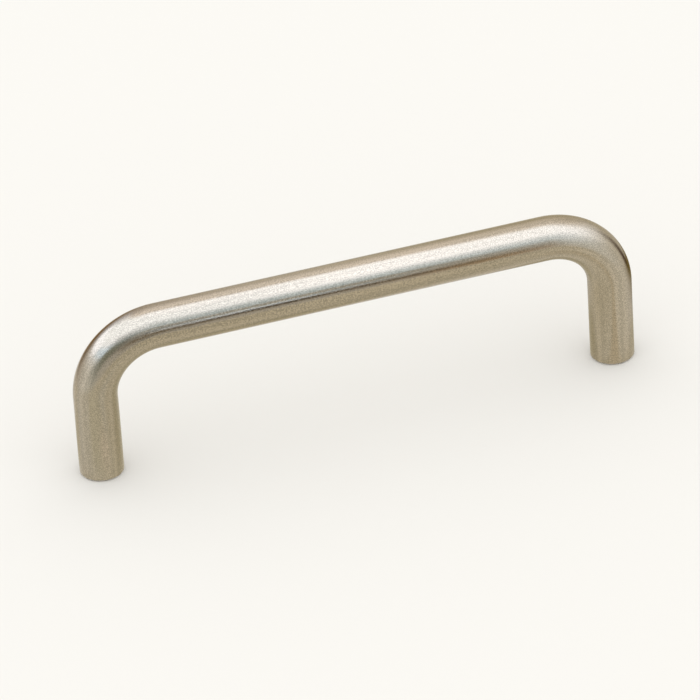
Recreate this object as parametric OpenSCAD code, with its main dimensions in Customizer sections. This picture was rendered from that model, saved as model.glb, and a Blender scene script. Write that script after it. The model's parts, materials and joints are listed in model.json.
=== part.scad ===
// Wire cabinet pull: one round bar with a bend at each end, and a tapped hole up each foot.
// +X runs along the grip and +Z points away from the drawer front.
// The origin is midway between the two feet, on the plane that they stand on.

/* [Bar] */
// Diameter of the round bar
bar_d = 8; // [6:0.5:12]
// Distance between the two screw holes, centre to centre
hole_centres = 96; // [64:32:192]
// How far the outside of the grip stands out from the drawer front
projection = 32; // [28:1:45]
// Radius of each bend, measured to the middle of the bar
bend_r = 12; // [8:0.5:14]

/* [Feet] */
// Width of the broken edge around the end of each foot
foot_chamfer = 0.3; // [0.1:0.1:0.5]

/* [Screw holes] */
// Diameter of the tap drill, 3.3 for an M4 thread
tap_drill_d = 3.3; // [2.5:0.1:3.6]
// Depth of each hole, without the cone that the drill's point leaves
hole_depth = 12; // [8:0.5:13]
// Angle of the drill's point
drill_point_angle = 118; // [90:1:135]
// Width of the countersunk edge around the mouth of each hole
mouth_chamfer = 0.5; // [0.2:0.1:0.6]

/* [Hidden] */
$fn = 96;

bar_r = bar_d / 2;
tap_drill_r = tap_drill_d / 2;
foot_x = hole_centres / 2;
// Height of the middle of the grip
grip_z = projection - bar_r;
// Where each leg ends and its bend starts
leg_length = grip_z - bend_r;
// Straight part of the grip, between the two bends
grip_length = hole_centres - 2 * bend_r;
// Height of the cone at the end of each hole
drill_point_length = tap_drill_r / tan(drill_point_angle / 2);
// How far the countersink's cutter starts below the foot, so that it leaves no skin
cutter_start = 1;

// A straight leg. Its top is at z = 0, so that it meets the bend exactly there at any size.
module leg() {
    rotate_extrude()
        polygon([
            [0, 0],
            [bar_r, 0],
            [bar_r, foot_chamfer - leg_length],
            [bar_r - foot_chamfer, -leg_length],
            [0, -leg_length]
        ]);
}

// A quarter turn around the origin, from the leg on its left to the grip above
module bend() {
    rotate([90, 0, 0])
        rotate_extrude(angle = 90, start = 90)
            translate([bend_r, 0])
                circle(r = bar_r);
}

// A leg and its bend, placed by the point that the bend turns around
module corner() {
    translate([-bend_r, 0, 0]) leg();
    bend();
}

// The straight bar between the two bends
module grip() {
    rotate([0, 90, 0])
        cylinder(h = grip_length, r = bar_r, center = true);
}

// What the tap drill and the countersink take out of a foot
module screw_hole() {
    mouth_r = tap_drill_r + mouth_chamfer;
    rotate_extrude()
        polygon([
            [0, -cutter_start],
            [mouth_r + cutter_start, -cutter_start],
            [tap_drill_r, mouth_chamfer],
            [tap_drill_r, hole_depth],
            [0, hole_depth + drill_point_length]
        ]);
}

module at_both_ends() {
    children();
    mirror([1, 0, 0]) children();
}

module pull_bar() {
    color([0.70, 0.66, 0.58])
        difference() {
            union() {
                translate([0, 0, grip_z]) grip();
                at_both_ends()
                    translate([-grip_length / 2, 0, leg_length]) corner();
            }
            at_both_ends()
                translate([-foot_x, 0, 0]) screw_hole();
        }
}

pull_bar();
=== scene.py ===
# %% [markdown]
# Wire cabinet pull in satin nickel
#
# The real pull is one round steel bar, bent down at both ends, with a tapped hole up each foot. It is
# brushed to a soft sheen and plated with nickel. This lesson builds the bar with bmesh operators, cuts the
# two screw holes, makes the brushed metal, and lights it as a small shiny thing is lit in a photo studio.
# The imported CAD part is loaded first. It gives every size and place, and it isn't changed.

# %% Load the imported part
import json
import math

import bmesh
import bpy
from mathutils import Matrix, Vector


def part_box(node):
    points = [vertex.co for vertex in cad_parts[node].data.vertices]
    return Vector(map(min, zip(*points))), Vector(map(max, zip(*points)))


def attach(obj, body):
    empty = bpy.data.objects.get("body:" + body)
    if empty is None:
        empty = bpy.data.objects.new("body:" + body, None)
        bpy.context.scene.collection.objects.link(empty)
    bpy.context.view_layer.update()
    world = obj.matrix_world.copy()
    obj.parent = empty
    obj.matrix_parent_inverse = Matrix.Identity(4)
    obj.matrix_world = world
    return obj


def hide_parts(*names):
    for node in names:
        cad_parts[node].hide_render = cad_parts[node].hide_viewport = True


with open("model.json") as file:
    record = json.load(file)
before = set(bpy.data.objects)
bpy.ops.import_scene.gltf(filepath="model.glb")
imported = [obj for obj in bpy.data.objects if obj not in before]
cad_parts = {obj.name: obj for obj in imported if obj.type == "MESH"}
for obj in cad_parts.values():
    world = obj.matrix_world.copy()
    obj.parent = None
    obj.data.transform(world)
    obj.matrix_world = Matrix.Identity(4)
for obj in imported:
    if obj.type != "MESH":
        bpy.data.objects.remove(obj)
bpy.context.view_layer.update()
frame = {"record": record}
MM = 0.001

# %% [markdown]
# Sizes
#
# Few sizes drive this part. Its box gives the thickness of the bar and how far the pull stands out, and the
# record's mounts give the screw holes. The bend radius and the broken edge of the feet can't be read from a
# box, so they are named here, with the values of the part's source. All sizes are in metres.

# %% The sizes that drive the pull
mounts = {mount["name"]: mount for mount in frame["record"]["mounts"]}
bar_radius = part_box("pull_bar")[1].y
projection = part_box("pull_bar")[1].z
foot_x = mounts["screw_hole_right"]["pos_m"][0]

bend_radius = 12 * MM
foot_edge = 0.3 * MM

grip_z = projection - bar_radius
leg_length = grip_z - bend_radius
bend_length = bend_radius * math.pi / 2
bend_x = foot_x - bend_radius
bar_length = 2 * (leg_length + bend_length + bend_x)
print("Bar:", round(bar_radius * 2 / MM, 2), "mm thick,", round(bar_length / MM, 1), "mm long when straight")

# %% [markdown]
# The bar
#
# A round bar could be a curve with a bevel depth, but a curve gives little say in where its rings of faces
# lie. Here one circle is carried along the bar's middle line, as the bar itself goes through the bender:
# extruded up the leg, spun a quarter turn round the bend's centre, extruded along the grip, spun again, and
# extruded down the other leg. Straight stretches and true quarter turns meet smoothly, as on the real bar.

# %% Helpers that carry a ring of edges on
RING_SPACING = 1.5 * MM
BEND_STEPS = 40


def extrude_ring(mesh, ring, move, widen=1.0, middle=Vector()):
    """Extrudes a ring of edges by a move, scales the new ring about its middle, and returns the new ring."""
    made = bmesh.ops.extrude_edge_only(mesh, edges=ring)["geom"]
    corners = [part for part in made if isinstance(part, bmesh.types.BMVert)]
    bmesh.ops.scale(mesh, vec=(widen, widen, 1), space=Matrix.Translation(-middle), verts=corners)
    bmesh.ops.translate(mesh, vec=move, verts=corners)
    return [part for part in made if isinstance(part, bmesh.types.BMEdge) and not part.is_manifold]


def extrude_straight(mesh, ring, move):
    """Extrudes a ring along a straight stretch, in steps of about the ring spacing."""
    steps = max(1, round(move.length / RING_SPACING))
    for _ in range(steps):
        ring = extrude_ring(mesh, ring, move / steps)
    return ring


def spin_bend(mesh, ring, centre):
    """Spins a ring a quarter turn round a bend's centre, and returns the ring that it ends in."""
    quarter = math.radians(90)
    made = bmesh.ops.spin(mesh, geom=ring, cent=centre, axis=(0, 1, 0), angle=quarter, steps=BEND_STEPS)
    return [part for part in made["geom_last"] if isinstance(part, bmesh.types.BMEdge)]


# %% Carry a circle along the bar
BAR_SEGMENTS = 128

bar = bmesh.new()
left_foot = Vector((-foot_x, 0, 0))
right_foot = Vector((foot_x, 0, 0))
straight_leg = Vector((0, 0, leg_length - foot_edge))
foot_share = (bar_radius - foot_edge) / bar_radius

start = bmesh.ops.create_circle(
    bar, segments=BAR_SEGMENTS, radius=bar_radius * foot_share, matrix=Matrix.Translation(left_foot)
)
ring = list({edge for corner in start["verts"] for edge in corner.link_edges})
ring = extrude_ring(bar, ring, Vector((0, 0, foot_edge)), 1 / foot_share, left_foot)
ring = extrude_straight(bar, ring, straight_leg)
ring = spin_bend(bar, ring, (-bend_x, 0, leg_length))
ring = extrude_straight(bar, ring, Vector((2 * bend_x, 0, 0)))
ring = spin_bend(bar, ring, (bend_x, 0, leg_length))
ring = extrude_straight(bar, ring, -straight_leg)
ring = extrude_ring(bar, ring, Vector((0, 0, -foot_edge)), foot_share, right_foot)

bmesh.ops.holes_fill(bar, edges=[edge for edge in bar.edges if edge.is_boundary])
bmesh.ops.recalc_face_normals(bar, faces=bar.faces)
print("Bar:", len(bar.faces), "faces, closed:", all(edge.is_manifold for edge in bar.edges))


# %% Make an object of it
def new_object(mesh, name):
    """Makes a smooth-shaded object from a bmesh, and frees the bmesh."""
    data = bpy.data.meshes.new(name)
    mesh.to_mesh(data)
    mesh.free()
    for face in data.polygons:
        face.use_smooth = True
    made = bpy.data.objects.new(name, data)
    bpy.context.scene.collection.objects.link(made)
    return made


pull = new_object(bar, "satin_bar")
print("Object:", pull.name)

# %% [markdown]
# The screw holes
#
# Each foot is drilled, countersunk and then tapped with an M4 thread, so the holes are cut here in the same
# order. They could be modelled into the feet, but cutters are how the real holes are made, and each keeps
# its own true form. The drill is a profile spun round its own axis. The tap is a zigzag line spun one full
# turn while it moves on by one pitch: its end then meets its start one tooth further on, and the teeth join
# into one screw. Boolean modifiers cut both out of the bar.

# %% A helper that spins a line into a cutter
HOLE_SEGMENTS = 64
MERGE_DISTANCE = 0.001 * MM


def spin_profile(profile, climb=0.0):
    """Spins a line of (radius, height) points a full turn round Z, while it climbs by a height."""
    mesh = bmesh.new()
    corners = [mesh.verts.new((radius, 0, height)) for radius, height in profile]
    edges = [mesh.edges.new(pair) for pair in zip(corners, corners[1:])]
    bmesh.ops.spin(
        mesh,
        geom=edges,
        axis=(0, 0, 1),
        angle=2 * math.pi,
        dvec=(0, 0, climb / HOLE_SEGMENTS),
        steps=HOLE_SEGMENTS,
        use_merge=climb == 0,
    )
    bmesh.ops.remove_doubles(mesh, verts=mesh.verts, dist=MERGE_DISTANCE / 2)
    return mesh


# %% The drill with its countersink
DRILL_POINT_ANGLE = math.radians(118)

hole_sizes = mounts["screw_hole_right"]["dims"]
drill_radius = hole_sizes["r_mm"] * MM
mouth_edge = 0.5 * MM
hole_depth = hole_sizes["length_mm"] * MM + mouth_edge
drill_point = drill_radius / math.tan(DRILL_POINT_ANGLE / 2)
# The cutter starts below the foot, so that none of its faces lies in the foot's own plane
cutter_start = 1 * MM


def drill():
    """The space that the drill and the countersink take out of a foot at the origin."""
    mesh = spin_profile(
        [
            (0, -cutter_start),
            (drill_radius + mouth_edge + cutter_start, -cutter_start),
            (drill_radius, mouth_edge),
            (drill_radius, hole_depth),
            (0, hole_depth + drill_point),
        ]
    )
    bmesh.ops.recalc_face_normals(mesh, faces=mesh.faces)
    return mesh


print("Hole:", round(drill_radius * 2 / MM, 2), "mm wide,", round(hole_depth / MM, 2), "mm deep to its cone")

# %% The sizes of the M4 tap
thread_radius = 2 * MM
thread_pitch = 0.7 * MM
# A metric thread's flanks lean 30 degrees each, and its crest is an eighth of the pitch wide
FLANK_ANGLE = math.radians(30)
thread_crest = thread_pitch / 8
# The tap's core lies just inside the drilled wall, so that only its teeth cut
tap_core = drill_radius - 0.05 * MM
thread_flank = (thread_radius - tap_core) * math.tan(FLANK_ANGLE)
# The teeth grow to their full depth below the foot, and run out over two pitches up in the hole
tap_start = -3 * thread_pitch
teeth_start = tap_start + 1.5 * thread_pitch
teeth_grown = -thread_pitch / 2
full_depth = 8 * MM
run_out_end = full_depth + 2 * thread_pitch
lower_cap = tap_start + 1.25 * thread_pitch
upper_cap = run_out_end + thread_pitch / 4
print("Thread:", round(full_depth / MM, 1), "mm at full depth, and gone at", round(run_out_end / MM, 1), "mm")


# %% Shape the tap
def smooth_step(low, high, value):
    """Rises smoothly from 0 to 1 between two values."""
    share = min(1, max(0, (value - low) / (high - low)))
    return share * share * (3 - 2 * share)


def cap_off(mesh, height, way):
    """Cuts a mesh off at a height, above it if way is 1 and below it if way is -1, and closes the cut."""
    parts = mesh.verts[:] + mesh.edges[:] + mesh.faces[:]
    plane = {"plane_co": (0, 0, height), "plane_no": (0, 0, way)}
    bmesh.ops.bisect_plane(mesh, geom=parts, clear_outer=True, **plane)
    rim = []
    for edge in mesh.edges:
        on_cut = all(abs(end.co.z - height) < MERGE_DISTANCE for end in edge.verts)
        if edge.is_boundary and on_cut:
            rim.append(edge)
    bmesh.ops.holes_fill(mesh, edges=rim)


def tap():
    """The space that an M4 tap takes out of a foot at the origin. Its teeth run out at both ends."""
    tooth = [
        (tap_core, 0),
        (tap_core, thread_pitch - 2 * thread_flank - thread_crest),
        (thread_radius, thread_pitch - thread_flank - thread_crest),
        (thread_radius, thread_pitch - thread_flank),
    ]
    spare_turns = 2
    turns = math.ceil((run_out_end - tap_start) / thread_pitch) + spare_turns
    line = []
    for turn in range(turns):
        line += [(radius, tap_start + thread_pitch * turn + height) for radius, height in tooth]
    mesh = spin_profile(line, thread_pitch)
    for corner in mesh.verts:
        radius = math.hypot(corner.co.x, corner.co.y)
        grown = smooth_step(teeth_start, teeth_grown, corner.co.z)
        kept = 1 - smooth_step(full_depth, run_out_end, corner.co.z)
        wanted = tap_core + (radius - tap_core) * grown * kept
        corner.co.x *= wanted / radius
        corner.co.y *= wanted / radius
    cap_off(mesh, lower_cap, -1)
    cap_off(mesh, upper_cap, 1)
    bmesh.ops.recalc_face_normals(mesh, faces=mesh.faces)
    return mesh


# %% Cut both holes
SHARP_ANGLE = math.radians(25)
cutters = []
for cutter_name, make in (("drill", drill), ("tap", tap)):
    for side_name, foot in (("left", left_foot), ("right", right_foot)):
        mesh = make()
        closed = all(edge.is_manifold for edge in mesh.edges)
        print(cutter_name, side_name, "has", len(mesh.faces), "faces, closed:", closed)
        bmesh.ops.translate(mesh, vec=foot, verts=mesh.verts)
        cutter = new_object(mesh, cutter_name + "_" + side_name)
        cut = pull.modifiers.new(cutter.name, "BOOLEAN")
        cut.operation = "DIFFERENCE"
        cut.solver = "EXACT"
        cut.object = cutter
        cutters.append(cutter)

cut_bar = bmesh.new()
cut_bar.from_object(pull, bpy.context.evaluated_depsgraph_get())
bmesh.ops.remove_doubles(cut_bar, verts=cut_bar.verts, dist=MERGE_DISTANCE)
bmesh.ops.dissolve_degenerate(cut_bar, edges=cut_bar.edges, dist=MERGE_DISTANCE)
print("Cut bar:", len(cut_bar.faces), "faces, closed:", all(edge.is_manifold for edge in cut_bar.edges))
print("Metal:", round(cut_bar.calc_volume() / MM ** 3), "cubic mm")

# %% [markdown]
# A map along and around the bar
#
# Brushing leaves its finest marks round the bar, and drawing leaves long faint ones along it, so the metal
# has to know at each point which way the bar runs. An unwrap from marked seams could give that, but a bent
# bar can simply be measured. This UV map holds the way along the bar's middle line as U and the way round it
# as V, both in real millimetres. It is made once the holes are cut, so that their walls have it too. Its
# seam is on the inside of the pull, and the flat feet have their own, straight across.

# %% Work out where a point is along and around the bar
UV_NAME = "along_and_around"


def along_and_outward(point):
    """How far along the bar a point is, and how far it lies to the outer side of the bar's middle line."""
    across = abs(point.x) - bend_x
    above = point.z - leg_length
    if above <= 0:
        from_foot = point.z
        outward = across - bend_radius
    elif across <= 0:
        from_foot = leg_length + bend_length - across
        outward = above - bend_radius
    else:
        from_foot = leg_length + bend_radius * math.atan2(above, across)
        outward = math.hypot(across, above) - bend_radius
    along = from_foot if point.x < 0 else bar_length - from_foot
    return along, outward


def angle_around(point):
    """The angle round the bar, 0 on its outer side and half a turn on its inner side, where the seam is."""
    return math.atan2(point.y, along_and_outward(point)[1])


def map_along_bar(mesh):
    """Gives a mesh of the bar its map, in millimetres."""
    layer = mesh.loops.layers.uv.new(UV_NAME)
    for face in mesh.faces:
        middle = face.calc_center_median()
        middle_angle = angle_around(middle)
        is_foot = middle.z < MERGE_DISTANCE
        for loop in face.loops:
            point = loop.vert.co
            apart = angle_around(point) - middle_angle
            whole_turns = round(apart / (2 * math.pi))
            angle = middle_angle + apart - whole_turns * 2 * math.pi
            if is_foot:
                loop[layer].uv = (point.x / MM, point.y / MM)
            else:
                loop[layer].uv = (along_and_outward(point)[0] / MM, angle * bar_radius / MM)


map_along_bar(cut_bar)
pull.modifiers.clear()
cut_bar.to_mesh(pull.data)
cut_bar.free()
pull.data.set_sharp_from_angle(angle=SHARP_ANGLE)
for cutter in cutters:
    bpy.data.objects.remove(cutter)
print("Mapped", len(pull.data.polygons), "faces")

# %% [markdown]
# Satin nickel
#
# The metal is nickel, plated over steel that was drawn, bent and brushed. Brushing leaves a fine, even grain
# that takes the mirror off the metal, and fine grooves round the bar that spread a reflection a little more
# along it than across. Drawing leaves faint long stripes. Principled BSDF draws the first with its roughness
# and a low bump, the second with anisotropy turned along the bar by the map's tangent, and the third with
# noise stretched on the map. Painted texture images could do it too, but noise has no seams and any detail.
# Colours are given as sRGB hex and turned to linear values by one function, and one function adds every node.


# %% Helpers for colours and nodes
def linear(hex_colour):
    """An sRGB hex colour as linear red, green, blue and alpha."""
    parts = [int(hex_colour[place:place + 2], 16) / 255 for place in (1, 3, 5)]
    return [part / 12.92 if part <= 0.04045 else ((part + 0.055) / 1.055) ** 2.4 for part in parts] + [1]


def add_node(tree, kind, settings=None, inputs=None):
    """Adds a node, sets what it is told to set, and gives its inputs values or links."""
    node = tree.nodes.new(kind)
    for name, value in (settings or {}).items():
        setattr(node, name, value)
    for name, value in (inputs or {}).items():
        if isinstance(value, bpy.types.NodeSocket):
            tree.links.new(value, node.inputs[name])
        else:
            node.inputs[name].default_value = value
    return node


def new_material(name):
    """An empty material, and its node tree."""
    material = bpy.data.materials.new(name)
    material.use_nodes = True
    material.node_tree.nodes.clear()
    return material, material.node_tree


# A Mix node that mixes colours has its two colours and its result at these places
COLOUR_MIX = {"data_type": "RGBA"}
COLOUR_A = 6
COLOUR_B = 7
COLOUR_RESULT = 2

# %% The sizes and tones of the nickel
NICKEL_HIGH = "#B3A68D"
NICKEL_LOW = "#968C76"
# The real grain is some 0.02 mm, too fine to show. It is drawn a pixel wide, and as much deeper.
GRAIN_SIZE = 0.17 * MM
GRAIN_DEPTH = 0.01 * MM
CLOUD_SIZE = 0.5 * MM
CLOUD_SHARE = 0.15
# The stripes follow the map, whose unit is a millimetre
STRIPE_WIDTH = 1.2
STRIPE_LENGTH = 60
STRIPE_SHARE = 0.35
SMOOTH_STRIPE = 0.16
ROUGH_STRIPE = 0.21


# %% The satin nickel of the bar
def satin_nickel():
    """Nickel plate on brushed steel. The eye sees soft beige metal with a fine grain and long stripes."""
    material, tree = new_material("satin_nickel_brushed_over_drawn_steel")
    place = add_node(tree, "ShaderNodeTexCoord").outputs["Object"]
    along = add_node(tree, "ShaderNodeUVMap", {"uv_map": UV_NAME}).outputs["UV"]
    grain = add_node(
        tree, "ShaderNodeTexNoise", inputs={"Vector": place, "Scale": 1 / GRAIN_SIZE, "Detail": 0.0}
    )
    clouds = add_node(
        tree, "ShaderNodeTexNoise", inputs={"Vector": place, "Scale": 1 / CLOUD_SIZE, "Detail": 1.0}
    )
    stripe_scale = (1 / STRIPE_LENGTH, 1 / STRIPE_WIDTH, 1)
    stretched = add_node(tree, "ShaderNodeMapping", inputs={"Vector": along, "Scale": stripe_scale})
    stripes = add_node(
        tree,
        "ShaderNodeTexNoise",
        inputs={"Vector": stretched.outputs["Vector"], "Scale": 1.0, "Detail": 2.0},
    )
    surface = add_node(
        tree,
        "ShaderNodeMix",
        inputs={"Factor": CLOUD_SHARE, "A": grain.outputs["Fac"], "B": clouds.outputs["Fac"]},
    )
    shade = add_node(
        tree,
        "ShaderNodeMix",
        inputs={"Factor": STRIPE_SHARE, "A": surface.outputs["Result"], "B": stripes.outputs["Fac"]},
    )
    spread = add_node(
        tree,
        "ShaderNodeMapRange",
        inputs={"Value": shade.outputs["Result"], "From Min": 0.4, "From Max": 0.6},
    )
    low_tone = linear(NICKEL_LOW)
    high_tone = linear(NICKEL_HIGH)
    tone = add_node(
        tree,
        "ShaderNodeMix",
        COLOUR_MIX,
        {"Factor": spread.outputs["Result"], COLOUR_A: low_tone, COLOUR_B: high_tone},
    )
    roughness = add_node(
        tree,
        "ShaderNodeMapRange",
        inputs={
            "Value": stripes.outputs["Fac"],
            "From Min": 0.3,
            "From Max": 0.7,
            "To Min": SMOOTH_STRIPE,
            "To Max": ROUGH_STRIPE,
        },
    )
    bump = add_node(
        tree,
        "ShaderNodeBump",
        inputs={"Height": surface.outputs["Result"], "Strength": 1.0, "Distance": GRAIN_DEPTH},
    )
    tangent = add_node(tree, "ShaderNodeTangent", {"direction_type": "UV_MAP", "uv_map": UV_NAME})
    shader = add_node(
        tree,
        "ShaderNodeBsdfPrincipled",
        inputs={
            "Base Color": tone.outputs[COLOUR_RESULT],
            "Metallic": 1.0,
            "Roughness": roughness.outputs["Result"],
            "Anisotropic": 0.6,
            "Tangent": tangent.outputs["Tangent"],
            "Normal": bump.outputs["Normal"],
        },
    )
    add_node(tree, "ShaderNodeOutputMaterial", inputs={"Surface": shader.outputs["BSDF"]})
    return material


pull.data.materials.clear()
pull.data.materials.append(satin_nickel())
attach(pull, "root")
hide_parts("pull_bar")
print("Material of the bar:", pull.data.materials[0].name)

# %% [markdown]
# Floor and sky
#
# The pull stands on a plain board of matt white, large enough to fill every view. Lamps could light it, but
# each would throw a shadow of its own, so an even white sky does. The board scatters that light evenly, and
# the pull has only the soft shade where its feet meet the board.

# %% The floor and the even light over it
FLOOR_TONE = "#E1DFDA"
FLOOR_REACH = 3.0
# The board lies a hair below the feet, so that the two never share a plane
FLOOR_DROP = 0.02 * MM
SKY_TONE = "#FFFFFF"
SKY_STRENGTH = 1.3


def matt_board():
    """Matt painted board, which the eye sees as a plain pale surface."""
    material, tree = new_material("matt_board")
    tone = linear(FLOOR_TONE)
    shader = add_node(tree, "ShaderNodeBsdfDiffuse", inputs={"Color": tone, "Roughness": 0.0})
    add_node(tree, "ShaderNodeOutputMaterial", inputs={"Surface": shader.outputs["BSDF"]})
    return material


floor_mesh = bmesh.new()
bmesh.ops.create_grid(floor_mesh, x_segments=1, y_segments=1, size=FLOOR_REACH)
bmesh.ops.translate(floor_mesh, vec=(0, 0, -FLOOR_DROP), verts=floor_mesh.verts)
floor = new_object(floor_mesh, "floor")
floor.data.materials.append(matt_board())

world = bpy.data.worlds.new("studio")
bpy.context.scene.world = world
world.use_nodes = True
sky_tree = world.node_tree
sky_tree.nodes.clear()
sky_light = {"Color": linear(SKY_TONE), "Strength": SKY_STRENGTH}
sky = add_node(sky_tree, "ShaderNodeBackground", inputs=sky_light)
add_node(sky_tree, "ShaderNodeOutputWorld", inputs={"Surface": sky.outputs["Background"]})
print("Floor:", 2 * FLOOR_REACH, "m wide")

# %% [markdown]
# The backdrop
#
# In a low view the floor would end in a visible horizon. A studio hangs seamless paper that curves up from
# the floor. A wide half sphere in the floor's own lit tone does the same from all sides, and it is only
# seen: it lights nothing and shows in nothing.

# %% Hang the paper
PAPER_TONE = "#FCFAF4"
BACKDROP_RADIUS = 2.9


def half_sphere(radius, segments):
    """A half sphere that stands on the floor, with its middle at the origin."""
    mesh = bmesh.new()
    bmesh.ops.create_uvsphere(mesh, u_segments=segments, v_segments=segments // 2, radius=radius)
    parts = mesh.verts[:] + mesh.edges[:] + mesh.faces[:]
    bmesh.ops.bisect_plane(mesh, geom=parts, plane_co=(0, 0, 0), plane_no=(0, 0, -1), clear_outer=True)
    return mesh


def lit_paper():
    """Seamless paper, lit evenly. The eye can't tell it from the floor that runs up to it."""
    material, tree = new_material("lit_backdrop_paper")
    shine = add_node(tree, "ShaderNodeEmission", inputs={"Color": linear(PAPER_TONE)})
    add_node(tree, "ShaderNodeOutputMaterial", inputs={"Surface": shine.outputs["Emission"]})
    material.cycles.emission_sampling = "NONE"
    return material


backdrop = new_object(half_sphere(BACKDROP_RADIUS, 64), "backdrop")
backdrop.data.materials.append(lit_paper())
backdrop.visible_diffuse = False
backdrop.visible_glossy = False
backdrop.visible_shadow = False
print("Backdrop:", len(backdrop.data.polygons), "faces,", BACKDROP_RADIUS, "m away")

# %% [markdown]
# A silk tent
#
# Polished metal shows its surroundings more than its own colour. Small shiny things are therefore
# photographed inside a tent: a dome of white silk, bright where lamps stand behind it, with strips of paper
# and dark card that draw a crisp line along an edge. Real lamps and cards round this pull would light the
# floor as well, so the tent here is a half sphere that only reflections see. Its shader turns each point of
# the silk into an azimuth, 0 in front and 90 to the right, and an elevation, and lays soft ovals of tone on
# it, one over the other.

# %% Helpers for soft ovals
SMOOTH = {"interpolation_type": "SMOOTHSTEP"}
HALF_TURN = 180


def glow(tone, strength):
    """The light of a surface of a given tone, where strength 1 is as bright as white paper."""
    return [part * strength for part in linear(tone)[:3]] + [1]


def soft_oval(tree, place, middle, reach, turn, soft):
    """Is 1 inside an oval and fades to 0 over the outer, soft share of its reach."""
    local = add_node(
        tree,
        "ShaderNodeMapping",
        {"vector_type": "TEXTURE"},
        {
            "Vector": place,
            "Location": (*middle, 0),
            "Rotation": (0, 0, math.radians(turn)),
            "Scale": (*reach, 1),
        },
    )
    distance = add_node(tree, "ShaderNodeVectorMath", {"operation": "LENGTH"}, {0: local.outputs["Vector"]})
    inside = add_node(
        tree,
        "ShaderNodeMapRange",
        SMOOTH,
        {"Value": distance.outputs["Value"], "From Min": 1.0, "From Max": 1 - soft},
    )
    return inside.outputs["Result"]


def lay(tree, light, place, name, middle, reach, turn, soft, tone, strength):
    """Lays a named soft oval of tone over the light. Azimuths wrap, so an oval may cross the back."""
    highest = (middle[0] + HALF_TURN, HALF_TURN, 1)
    lowest = (middle[0] - HALF_TURN, -HALF_TURN, -1)
    turned = add_node(tree, "ShaderNodeVectorMath", {"operation": "WRAP"}, {0: place, 1: highest, 2: lowest})
    share = soft_oval(tree, turned.outputs["Vector"], middle, reach, turn, soft)
    laid = add_node(
        tree,
        "ShaderNodeMix",
        {"label": name, **COLOUR_MIX},
        {"Factor": share, COLOUR_A: light, COLOUR_B: glow(tone, strength)},
    )
    return laid.outputs[COLOUR_RESULT]


def reflection_only(piece):
    """Makes a stage piece show in the metal alone: it is unseen, casts no shadow and lights nothing."""
    piece.visible_camera = False
    piece.visible_diffuse = False
    piece.visible_shadow = False
    piece.data.materials[0].cycles.emission_sampling = "NONE"


# %% Sew the tent
TENT_RADIUS = 100 * MM
DEGREES = 180 / math.pi
# The silk grows from its dim foot to its bright top between these elevations
FOOT_ENDS = 13
TOP_STARTS = 38


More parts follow.
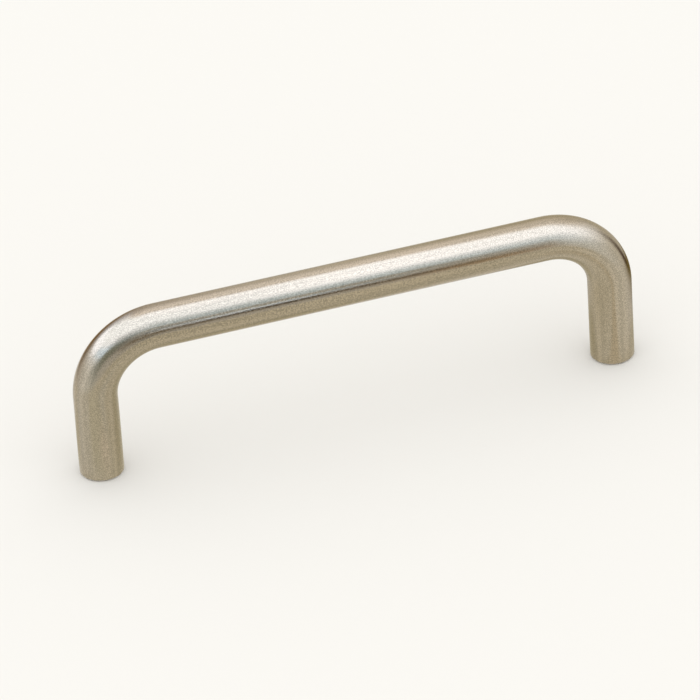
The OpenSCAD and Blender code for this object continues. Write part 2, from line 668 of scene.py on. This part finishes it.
def silk_tent():
    """Lit silk. The metal mirrors it as a broad white band with a warm back and thin dark lines."""
    material, tree = new_material("silk_tent")
    point = add_node(tree, "ShaderNodeTexCoord").outputs["Object"]
    x, y, z = add_node(tree, "ShaderNodeSeparateXYZ", inputs={"Vector": point}).outputs
    front = add_node(tree, "ShaderNodeMath", {"operation": "MULTIPLY"}, {0: y, 1: -1})
    round_up = add_node(tree, "ShaderNodeMath", {"operation": "ARCTAN2"}, {0: x, 1: front.outputs[0]})
    height = add_node(tree, "ShaderNodeMath", {"operation": "DIVIDE"}, {0: z, 1: TENT_RADIUS})
    lift = add_node(tree, "ShaderNodeMath", {"operation": "ARCSINE"}, {0: height.outputs[0]})
    angles = add_node(tree, "ShaderNodeCombineXYZ", inputs={"X": round_up.outputs[0], "Y": lift.outputs[0]})
    degrees = add_node(
        tree, "ShaderNodeVectorMath", {"operation": "SCALE"}, {0: angles.outputs["Vector"], "Scale": DEGREES}
    )
    place = degrees.outputs["Vector"]
    elevation = add_node(tree, "ShaderNodeMath", {"operation": "MULTIPLY"}, {0: lift.outputs[0], 1: DEGREES})
    rise = add_node(
        tree,
        "ShaderNodeMapRange",
        SMOOTH,
        {"Value": elevation.outputs[0], "From Min": FOOT_ENDS, "From Max": TOP_STARTS},
    )
    foot_light = glow("#F0F4FF", 1.35)
    top_light = glow("#D7E1FF", 3.7)
    silk = add_node(
        tree,
        "ShaderNodeMix",
        COLOUR_MIX,
        {"Factor": rise.outputs["Result"], COLOUR_A: foot_light, COLOUR_B: top_light},
    )
    light = silk.outputs[COLOUR_RESULT]
    # The silk's large fields: its grey back, its bright left side, and the front where the camera looks in
    light = lay(tree, light, place, "grey back", (171, 49), (95, 32), 3, 0.3, "#F4F3FF", 1.65)
    light = lay(tree, light, place, "bright left", (-75, 56), (107, 19), 23, 0.35, "#D5E1FF", 3.45)
    light = lay(tree, light, place, "cool front", (8, 38), (83, 38), -9, 0.8, "#CBE0FF", 1.75)
    light = lay(tree, light, place, "dark left front", (-46, 21), (45, 34), -16, 0.85, "#78B4A8", 0.25)
    # The foot of the tent behind the pull is darker and warmer
    light = lay(tree, light, place, "left foot", (-146, 7), (63, 60), 12, 0.95, "#FFC040", 0.27)
    light = lay(tree, light, place, "right foot", (140, 13), (91, 60), 9, 0.9, "#FFF5DD", 0.73)
    # A grey cloth in front, with strips of paper and card on it, draws the thin lines along the grip
    light = lay(tree, light, place, "grey cloth", (-11, 19), (62, 26), 6, 0.3, "#F7F8FF", 0.8)
    light = lay(tree, light, place, "cool strip", (-45, 28), (77, 6.5), 0, 0.55, "#BED7FF", 2.65)
    light = lay(tree, light, place, "dark post", (-14.5, 20.5), (5, 19), -8, 0.2, "#FFFDE2", 0.07)
    light = lay(tree, light, place, "warm shade", (27.5, 9.5), (15.5, 18.5), 10, 1.0, "#FFD7A0", 0.58)
    light = lay(tree, light, place, "dark strip", (-3.5, 21.5), (44, 6.8), -14.5, 0.7, "#FFB300", 0.08)
    light = lay(tree, light, place, "grey strip", (-43, 25.3), (28, 8.7), 1, 0.25, "#F9FBFF", 0.42)
    light = lay(tree, light, place, "white line", (-18.5, 22.5), (26.5, 1.35), 21, 0.2, "#D8E5FF", 3.8)
    light = lay(tree, light, place, "grey card", (-23, 17.5), (22.5, 6.5), -6, 0.2, "#FFF1E1", 0.35)
    light = lay(tree, light, place, "left card", (-60, 25), (15.5, 12), 25, 0.7, "#F5FFF9", 0.45)
    # The pull's own cast shadow to its right is painted here as a dark upright band, which draws the line
    # down the right bend, and a bright end closes the white band on the left
    light = lay(tree, light, place, "right cast shadow", (98, -6.5), (9.5, 42), 3, 0.8, "#FFA040", 0.08)
    light = lay(tree, light, place, "bright end", (-107, 31), (21, 8), -10, 0.3, "#D4DFFF", 3.75)
    shine = add_node(tree, "ShaderNodeEmission", inputs={"Color": light})
    add_node(tree, "ShaderNodeOutputMaterial", inputs={"Surface": shine.outputs["Emission"]})
    return material


tent = new_object(half_sphere(TENT_RADIUS, 128), "silk_tent")
tent.data.materials.append(silk_tent())
reflection_only(tent)
print("Tent:", len(tent.data.polygons), "faces,", len(tent.data.materials[0].node_tree.nodes), "nodes")

# %% [markdown]
# The ground sheet
#
# The legs mirror the ground close beside them. The real floor is shaded there by the pull itself, while in
# the photograph it was lit from all round. A ground sheet that only reflections see lies just over the
# floor and gives the metal those tones, laid in soft ovals too. Some ovals are painted shade beside the
# pull, and one is the pull's own cast shadow to its right, painted on the sheet. Their places are in
# millimetres.

# %% Spread the ground sheet
SHEET_LIFT = 0.2 * MM


def ground_sheet():
    """The tent's pale ground sheet, in the tones of the lit floor, with soft shades beside the pull."""
    material, tree = new_material("ground_sheet")
    point = add_node(tree, "ShaderNodeTexCoord").outputs["Object"]
    to_mm = (1 / MM, 1 / MM, 0)
    flat = add_node(tree, "ShaderNodeVectorMath", {"operation": "MULTIPLY"}, {0: point, 1: to_mm})
    place = flat.outputs["Vector"]
    light = glow("#F8F5EF", 1.0)
    light = lay(tree, light, place, "grip shade", (-31, 4), (67, 15), -9, 0.65, "#FFF9E5", 0.75)
    light = lay(tree, light, place, "bright right", (88, -32), (86, 46), 128, 0.65, "#FCFCFF", 1.13)
    # Painted shadow: the pull's own shadow, cast on the floor to its right, laid as a dim warm oval
    light = lay(tree, light, place, "floor cast shadow", (125, 19), (122, 40), -9, 0.65, "#FFDE79", 0.24)
    light = lay(tree, light, place, "right front shade", (47, -18), (19, 4), 91, 0.4, "#FFF8ED", 0.89)
    light = lay(tree, light, place, "bright left", (-70, -10), (49, 23), -39, 0.35, "#FAFBFF", 1.06)
    light = lay(tree, light, place, "left front shade", (-58, -23), (28, 15), 45, 0.4, "#FFFFF9", 0.9)
    light = lay(tree, light, place, "right leg shade", (47.5, 7), (13, 21), 73, 0.55, "#FFF8E0", 0.66)
    light = lay(tree, light, place, "left front light", (-46, -14), (11, 8), 85, 0.9, "#FFFAF8", 1.05)
    shine = add_node(tree, "ShaderNodeEmission", inputs={"Color": light})
    add_node(tree, "ShaderNodeOutputMaterial", inputs={"Surface": shine.outputs["Emission"]})
    return material


sheet_mesh = bmesh.new()
bmesh.ops.create_circle(sheet_mesh, cap_ends=True, segments=128, radius=TENT_RADIUS)
bmesh.ops.translate(sheet_mesh, vec=(0, 0, SHEET_LIFT), verts=sheet_mesh.verts)
sheet = new_object(sheet_mesh, "ground_sheet")
sheet.data.materials.append(ground_sheet())
reflection_only(sheet)
print("Ground sheet:", len(sheet.data.materials[0].node_tree.nodes), "nodes")

# %% [markdown]
# Camera
#
# A long lens flattens a product and keeps its proportions true. It looks from above and a little from the
# left, slightly rolled, as in the photograph. A tracking constraint could aim it, but the angles are known,
# so three plain turns do.

# %% The camera
CAMERA_AZIMUTH = math.radians(-15.357)
CAMERA_ELEVATION = math.radians(35.216)
CAMERA_ROLL = math.radians(-3.734)
CAMERA_PLACE = Vector((-294.906, -1070.290, 796.883)) * MM
LENS = 392.38
SENSOR_WIDTH = 36

camera_data = bpy.data.cameras.new("camera")
camera_data.sensor_width = SENSOR_WIDTH
camera_data.lens = LENS
camera = bpy.data.objects.new("camera", camera_data)
bpy.context.scene.collection.objects.link(camera)
camera.matrix_world = (
    Matrix.Translation(CAMERA_PLACE)
    @ Matrix.Rotation(CAMERA_AZIMUTH, 4, "Z")
    @ Matrix.Rotation(math.radians(90) - CAMERA_ELEVATION, 4, "X")
    @ Matrix.Rotation(CAMERA_ROLL, 4, "Z")
)
bpy.context.scene.camera = camera
bpy.context.scene.view_settings.view_transform = "Standard"
print("Camera:", round(CAMERA_PLACE.length, 2), "m away")
